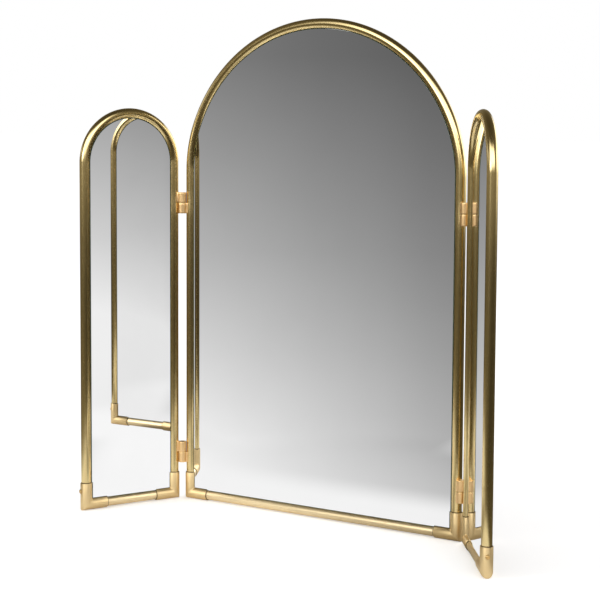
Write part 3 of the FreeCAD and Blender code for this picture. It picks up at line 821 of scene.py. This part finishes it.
tube_finish = brass("tube_brass", GOLD, AGED_GOLD, soldered=True, socketed=True)
# The rails' brass is made paler than the tubes' as painted light.
rail_finish = brass("rail_brass", RAIL_GOLD_LIT, RAIL_AGED_LIT, rough=0.36, lines=0.6, socketed=True)
elbow_finish = brass("elbow_brass", ELBOW_GOLD, ELBOW_AGED, rough=0.42, lines=0.4)
# The sockets' mouth bevels: dark grime with painted shade for the gap.
mouth_shade_finish = brass("mouth_shaded_brass", GRIME_AND_SHADE_EDGE, GRIME_AND_SHADE, rough=0.5, lines=0.3)
hinge_finish = brass("hinge_brass", COPPER_GOLD, COPPER_AGED, rough=0.38, lines=0.15)
washer_finish = brass("washer_brass", WARM_GOLD, WARM_AGED, rough=0.2, lines=0.4)
lug_finish = brass("lug_brass", GOLD, AGED_GOLD, rough=0.34, lines=0.4, coordinates="Object")
lock_finish = brass("lock_screw_brass", WARM_AGED, AGED_GOLD, rough=0.3, lines=0.4, coordinates="Object")
pin_finish = steel("pin_steel", *PIN_STEEL)
screw_finish = steel("board_screw_steel", *SCREW_STEEL)
edge_finish, paint_finish, board_finish = glass_edge(), back_paint(), hardboard()
hinge_finishes = {"hinge": hinge_finish, "washer": washer_finish, "pin": pin_finish}


# ---------------------------------------------------------------- the object


def refinish(node, material):
    """Gives a CAD piece that keeps its shape a better material."""
    for slot in frame["nodes"][node].material_slots:
        slot.material = material


def elbow_names(panel):
    """The node of the elbow on each side of a panel."""
    if panel is centre:
        return {LEFT: "centre_left_elbow", RIGHT: "centre_right_elbow"}
    outer = LEFT if panel is wings["left"] else RIGHT
    return {outer: f"{panel.name}_outer_elbow", -outer: f"{panel.name}_hinge_elbow"}


for panel in panels:
    arch_tube(panel, tube_finish)
    bottom_rail(panel, rail_finish)
    for side, name in elbow_names(panel).items():
        elbow(panel, side, name, [elbow_finish, mouth_shade_finish])
    # The silver differs by panel as painted light and shade.
    silver_finish = silver(f"{panel.name}_silver", SILVER_LIT_AND_SHADED[panel.name])
    mirror_glass(panel, silver_finish, edge_finish, paint_finish)
    backing_board(panel, board_finish)
    refinish(f"{panel.name}_board_lugs", lug_finish)
    refinish(f"{panel.name}_board_screws", screw_finish)

for side, panel in wings.items():
    refinish(f"{panel.name}_lock_screw", lock_finish)
    for level in ("lower", "upper"):
        hinge(side, level, hinge_finishes)


# ---------------------------------------------------------------- stage, light and camera

scene = bpy.context.scene
scene.view_settings.view_transform = "Standard"

TENT_RADIUS = 8.0
FLOOR_SIZE = 60.0
WORLD_LIGHT = 0.6
# The rays that a part of the stage is hidden from where only reflections are to see it.
NOT_GLOSSY = ("camera", "diffuse", "transmission", "shadow", "volume_scatter")
# The most that an arccosine is given, so that rounding doesn't take it past 1.
NEARLY_ONE = 0.999999

# What brass reflects is brown where it is dark, the less so up to a level at which it is white.
ROOM_TINT = (1.0, 0.87, 0.57, 1)
ROOM_TINTED = (0.0, 0.75)
# What brass reflects by elevation: pale up to eye level, under a dark ceiling.
ROOM = (
    (-90, 0.28), (0, 0.28), (4, 0.28), (10, 0.25), (18, 0.21), (30, 0.16), (45, 0.12), (60, 0.085),
    (90, 0.06),
)
# Soft panels of light in it: heading, reach, lowest, highest, softness and level.
PANELS = (
    (-22, 49, 13, 45, 11, 2.6),
    (12, 15, 6, 18, 4, 2.8),
    (-146, 36, 2, 26, 6, 2.1),
    (72, 14, 11, 20, 4, 0.7),
)

# How pale the floor is to brass, which is painted light: by distance, as if the light fell off round the
# object, by heading, and in a painted pool of light before the right wing's foot.
FLOOR_MIDDLE = (-0.10, -0.16, 0)
FLOOR_REACH = 12.0
FLOOR_FALL = (
    (0, 0.90), (0.2, 0.88), (0.32, 0.82), (0.4, 0.50), (0.5, 0.29), (0.65, 0.17), (0.85, 0.14),
    (1.2, 0.11), (2.0, 0.105), (3.0, 0.13), (5.0, 0.20), (8.0, 0.28), (12.0, 0.36),
)
FLOOR_SIDES = (
    (-180, 1.0), (-140, 0.72), (-110, 0.44), (-62, 0.35), (-38, 0.52), (-10, 0.74), (50, 1.0),
    (180, 1.0),
)
FLOOR_SCALE = 1.25
FLOOR_POOL = (0.27, -0.22, 0)
FLOOR_POOL_REACH = (0.08, 0.22)
FLOOR_POOL_LEVEL = 1.25

# The grey sweep that mirrors see, a round floor and wall: its level by heading, how that falls from the
# middle of the floor to the top of the wall, and the most that it comes to.
SWEEP_MIDDLE = (0, -0.05, 0)
SWEEP_RADIUS = 0.5
SWEEP_WALL = 1.0
SWEEP_REACH = SWEEP_RADIUS + SWEEP_WALL
SWEEP_SCALE = 2.3
SWEEP_HEADINGS = (
    (-180, 0.30), (-130, 0.46), (-77, 0.62), (-45, 0.60), (-14, 0.58), (-3.5, 0.54), (8, 0.232),
    (13, 0.25), (22, 0.298), (33, 0.347), (44, 0.408), (54, 0.460), (75, 0.54), (110, 0.45),
    (140, 0.22), (156, 0.18), (180, 0.30),
)
SWEEP_RUN = (
    (0, 1.0), (0.36, 0.88), (0.5, 0.84), (0.63, 0.65), (0.79, 0.45), (0.95, 0.315), (1.1, 0.20),
    (1.5, 0.155),
)
SWEEP_MOST = 0.87
# Its floor's level at the middle, how that changes over a metre of X and Y, and the least it comes to.
FLOOR_LEVEL = 0.776
FLOOR_SLOPE = (-0.885, 0.88, 0)
FLOOR_LEAST = 0.47
# Its pale parts: from which Y by the feet, and from how far in which direction at the right.
FLOOR_PALE = 0.94
FLOOR_FEET = (-0.17, -0.05)
FLOOR_RIGHTWARD = (1, -0.475, 0)
FLOOR_RIGHT = (0.16, 0.26)
# Between which distances it passes into the wall's level.
FLOOR_EDGE = (0.34, 0.50)

# The floor's paper, and how much white the camera sees on top of its light, by distance.
PAPER = (grey(0.85), grey(0.87))
PAPER_ROUGHNESS = 0.9
FLOOR_LIFT = (0.34, 0.55)
FLOOR_LIFT_REACH = (0.4, 2.2)


class Sky:
    """Where a stage's surface lies round the object, for painting what reflections see of it.

    Angles are in degrees. A heading is measured from -Y, which is straight out of the centre mirror,
    towards -X.
    """

    def __init__(self, graph, middle=(0, 0, 0)):
        self.graph = graph
        self.place = graph.vector("SUBTRACT", graph.place(), middle)
        plan = graph.vector("MULTIPLY", self.place, (1, 1, 0))
        self.up = graph.add("ShaderNodeSeparateXYZ", {0: self.place}).outputs["Z"]
        self.away = graph.vector("LENGTH", plan, gives="Value")
        self.bearing = graph.vector("NORMALIZE", plan)
        self.elevation = graph.math("ARCTAN2", self.up, self.away)

    def off(self, heading):
        """How far a place's heading is from this one, in radians."""
        turn = math.radians(heading)
        ahead = (-math.sin(turn), -math.cos(turn), 0)
        cosine = self.graph.vector("DOT_PRODUCT", self.bearing, ahead, gives="Value")
        return self.graph.math("ARCCOSINE", self.graph.math("MINIMUM", cosine, NEARLY_ONE))

    def by_heading(self, stops):
        """A level by heading, given as (degrees, level)."""
        flat = self.graph.add("ShaderNodeSeparateXYZ", {0: self.bearing})
        back = self.graph.math("MULTIPLY", flat.outputs["X"], -1.0)
        ahead = self.graph.math("MULTIPLY", flat.outputs["Y"], -1.0)
        turn = self.graph.math("ARCTAN2", back, ahead)
        share = self.graph.math("MULTIPLY_ADD", turn, 0.5 / math.pi, 0.5)
        return self.graph.profile(share, [(0.5 + degrees / 360, level) for degrees, level in stops])

    def by_elevation(self, stops):
        """A level by elevation, given as (degrees, level)."""
        share = self.graph.math("MULTIPLY_ADD", self.elevation, 1 / math.pi, 0.5)
        return self.graph.profile(share, [(0.5 + degrees / 180, level) for degrees, level in stops])

    def by_run(self, run, reach, stops):
        """A level by a length up to a reach, given as (length, level)."""
        share = self.graph.math("MULTIPLY", run, 1 / reach)
        return self.graph.profile(share, [(length / reach, level) for length, level in stops])

    def fade(self, value, first, last):
        """1 up to the first angle, falling to 0 at the last."""
        return self.graph.span(value, math.radians(first), math.radians(last), 1.0, 0.0)

    def panel(self, heading, reach, low, high, soft, level):
        """A soft-edged panel of light: its heading, its reach to each side and its elevations."""
        aside = self.fade(self.off(heading), reach - soft, reach + soft)
        above = self.graph.span(self.elevation, math.radians(low - soft), math.radians(low + soft))
        below = self.fade(self.elevation, high - soft, high + soft)
        share = self.graph.math("MULTIPLY", self.graph.math("MULTIPLY", aside, above), below)
        return self.graph.math("MULTIPLY", share, level)

    def sweep(self, run):
        """The grey sweep that the mirrors show. Run goes out along the floor and up the wall."""
        bright = self.graph.math("MULTIPLY", self.by_heading(SWEEP_HEADINGS), SWEEP_SCALE)
        level = self.graph.math("MULTIPLY", bright, self.by_run(run, SWEEP_REACH, SWEEP_RUN))
        return self.graph.math("MINIMUM", level, SWEEP_MOST)

    def slope(self):
        """The sweep's floor: it darkens to the front right, and is pale by the feet and far right.

        Near the wall it passes into the wall's own level.
        """
        level = self.graph.math("ADD", self.along(FLOOR_SLOPE), FLOOR_LEVEL)
        level = self.graph.math("MAXIMUM", level, FLOOR_LEAST)
        by_feet = self.graph.span(self.along((0, 1, 0)), *FLOOR_FEET)
        far_right = self.graph.span(self.along(FLOOR_RIGHTWARD), *FLOOR_RIGHT)
        pale = self.between(by_feet, far_right, 1.0)
        level = self.between(pale, level, FLOOR_PALE)
        by_wall = self.graph.span(self.away, *FLOOR_EDGE)
        return self.between(by_wall, level, self.sweep(self.away))

    def between(self, share, first, second):
        """A number part of the way from the first to the second."""
        rest = self.graph.math("MULTIPLY", self.graph.math("SUBTRACT", 1.0, share), first)
        return self.graph.math("MULTIPLY_ADD", share, second, rest)

    def along(self, direction):
        """How far a place lies along a direction, times the direction's length."""
        return self.graph.vector("DOT_PRODUCT", self.place, direction, gives="Value")


def stage_piece(name, mesh, material, hidden=()):
    """Adds a part of the stage, hidden from some kinds of ray."""
    mesh.materials.append(material)
    piece = bpy.data.objects.new(name, mesh)
    scene.collection.objects.link(piece)
    for ray in hidden:
        setattr(piece, f"visible_{ray}", False)
    return piece


def emitter(name):
    """The graph of a new material of pure emission, and its glow."""
    graph = new_material(name)
    graph.tree.nodes.remove(graph.shader)
    glow = graph.add("ShaderNodeEmission")
    graph.show(glow)
    return graph, glow


def warmed(graph, level):
    """The tint of what brass reflects: brown where it is dark, and white where it is bright."""
    return graph.mix(graph.span(level, *ROOM_TINTED), ROOM_TINT, WHITE)


def tent():
    """A room of light that only reflections in brass see."""
    mesh = bpy.data.meshes.new("studio_tent")
    bm = bmesh.new()
    bmesh.ops.create_uvsphere(bm, u_segments=48, v_segments=24, radius=TENT_RADIUS)
    bm.to_mesh(mesh)
    bm.free()
    graph, glow = emitter("tent_cloth")
    sky = Sky(graph)
    room = graph.total(sky.by_elevation(ROOM), *(sky.panel(*panel) for panel in PANELS))
    graph.put(glow.inputs["Color"], warmed(graph, room))
    graph.put(glow.inputs["Strength"], room)
    stage_piece("studio_tent", mesh, graph.owner, NOT_GLOSSY)


def sweep_wall():
    """A grey wall round the object that only mirrors see."""
    mesh = bpy.data.meshes.new("studio_sweep")
    bm = bmesh.new()
    rings = lathe([(SWEEP_RADIUS, 0), (SWEEP_RADIUS, SWEEP_WALL)], SWEEP_SIDES)
    low, high = ([bm.verts.new(point) for point in ring] for ring in rings)
    for side, start in enumerate(low):
        after = (side + 1) % len(low)
        bm.faces.new((start, low[after], high[after], high[side]))
    bm.to_mesh(mesh)
    bm.free()
    graph, glow = emitter("sweep_paper")
    sky = Sky(graph)
    run = graph.math("ADD", sky.up, SWEEP_RADIUS)
    graph.put(glow.inputs["Strength"], sky.sweep(run))
    clear = graph.add("ShaderNodeBsdfTransparent")
    mirrored = graph.add("ShaderNodeLightPath").outputs["Is Singular Ray"]
    faces = {0: mirrored, 1: clear.outputs[0], 2: glow.outputs[0]}
    graph.show(graph.add("ShaderNodeMixShader", faces))
    graph.owner.cycles.emission_sampling = "NONE"
    wall = stage_piece("studio_sweep", mesh, graph.owner, NOT_GLOSSY)
    wall.location = SWEEP_MIDDLE


def floor_to_brass(graph):
    """What brass sees of the floor, as painted light: pale near the object, darker to the sides, and a
    painted pool of light.
    """
    sky = Sky(graph, FLOOR_MIDDLE)
    sides = graph.math("MULTIPLY", sky.by_heading(FLOOR_SIDES), FLOOR_SCALE)
    level = graph.math("MULTIPLY", sky.by_run(sky.away, FLOOR_REACH, FLOOR_FALL), sides)
    pool = graph.span(Sky(graph, FLOOR_POOL).away, *FLOOR_POOL_REACH, FLOOR_POOL_LEVEL, 0.0)
    level = graph.math("MAXIMUM", level, pool)
    return graph.mix(level, BLACK, warmed(graph, level))


def floor():
    """A white floor that runs out of sight, and that brass and the mirrors see in their own ways."""
    mesh = bpy.data.meshes.new("studio_floor")
    half = FLOOR_SIZE / 2
    corners = [(x * half, y * half, 0) for x, y in ((-1, -1), (1, -1), (1, 1), (-1, 1))]
    mesh.from_pydata(corners, [], [(0, 1, 2, 3)])
    graph = new_material("floor_paper")
    rays = graph.add("ShaderNodeLightPath").outputs
    paper = graph.mix(graph.noise(graph.place(), scale=240.0, detail=3.0), *PAPER)
    colour = graph.mix(rays["Is Glossy Ray"], paper, floor_to_brass(graph))
    graph.set(Base_Color=colour, Roughness=PAPER_ROUGHNESS, Specular_IOR_Level=0.0)
    sky = Sky(graph, SWEEP_MIDDLE)
    lift = graph.span(sky.away, *FLOOR_LIFT_REACH, *FLOOR_LIFT)
    lift = graph.math("MULTIPLY", rays["Is Camera Ray"], lift)
    white = graph.add("ShaderNodeEmission", {"Strength": lift})
    lit = graph.add("ShaderNodeAddShader", {0: graph.shader.outputs[0], 1: white.outputs[0]})
    sweep = graph.add("ShaderNodeEmission", {"Strength": sky.slope()})
    faces = {0: rays["Is Singular Ray"], 1: lit.outputs[0], 2: sweep.outputs[0]}
    graph.show(graph.add("ShaderNodeMixShader", faces))
    stage_piece("studio_floor", mesh, graph.owner)


def world():
    """Plain even light, and white to the camera and to reflections."""
    scene.world = bpy.data.worlds.new("studio")
    graph = Graph(scene.world)
    rays = graph.add("ShaderNodeLightPath").outputs
    seen = graph.math("MAXIMUM", rays["Is Camera Ray"], rays["Is Glossy Ray"])
    seen = graph.math("MAXIMUM", seen, rays["Is Transmission Ray"])
    level = graph.add("ShaderNodeMapRange", {"Value": seen, "To Min": WORLD_LIGHT, "To Max": 1.0})
    glow = graph.tree.nodes["Background"].inputs
    graph.put(glow["Color"], WHITE)
    graph.put(glow["Strength"], level.outputs[0])


def lamp(name, place, power, size, target=(0, 0, 0.3)):
    """A square soft lamp that points at the object. Reflections see the tent in its place."""
    light = bpy.data.lights.new(name, "AREA")
    light.energy = power
    light.size = size
    body = bpy.data.objects.new(name, light)
    body.location = place
    body.rotation_euler = (Vector(target) - Vector(place)).to_track_quat("-Z", "Y").to_euler()
    body.visible_glossy = False
    scene.collection.objects.link(body)


tent()
sweep_wall()
floor()
world()
lamp("key_lamp", (-1.6, -1.5, 1.9), power=22, size=1.2)
lamp("fill_lamp", (1.7, -1.2, 1.5), power=12, size=1.4)
lamp("back_lamp", (0.4, 1.8, 1.6), power=14, size=1.4)

# The photograph's camera, fitted to the panels, elbows, hinges and reflections in it.
CAMERA_PLACE = Vector((0.96339, -1.62931, 0.50324))
CAMERA_YAW = math.radians(31.296)
CAMERA_PITCH = math.radians(-4.582)
CAMERA_ROLL = math.radians(0.319)
SENSOR = 36.0
LENS = 91.67
SHIFT_DOWN = -0.1

view = bpy.data.cameras.new("camera")
view.sensor_width = SENSOR
view.lens = LENS
view.shift_y = SHIFT_DOWN
view.clip_end = 2 * FLOOR_SIZE
camera = bpy.data.objects.new("camera", view)
upright = Matrix.Rotation(CAMERA_YAW, 4, "Z") @ Matrix.Rotation(math.pi / 2 + CAMERA_PITCH, 4, "X")
camera.matrix_world = Matrix.Translation(CAMERA_PLACE) @ upright @ Matrix.Rotation(CAMERA_ROLL, 4, "Z")
scene.collection.objects.link(camera)
scene.camera = camera

bpy.context.view_layer.update()
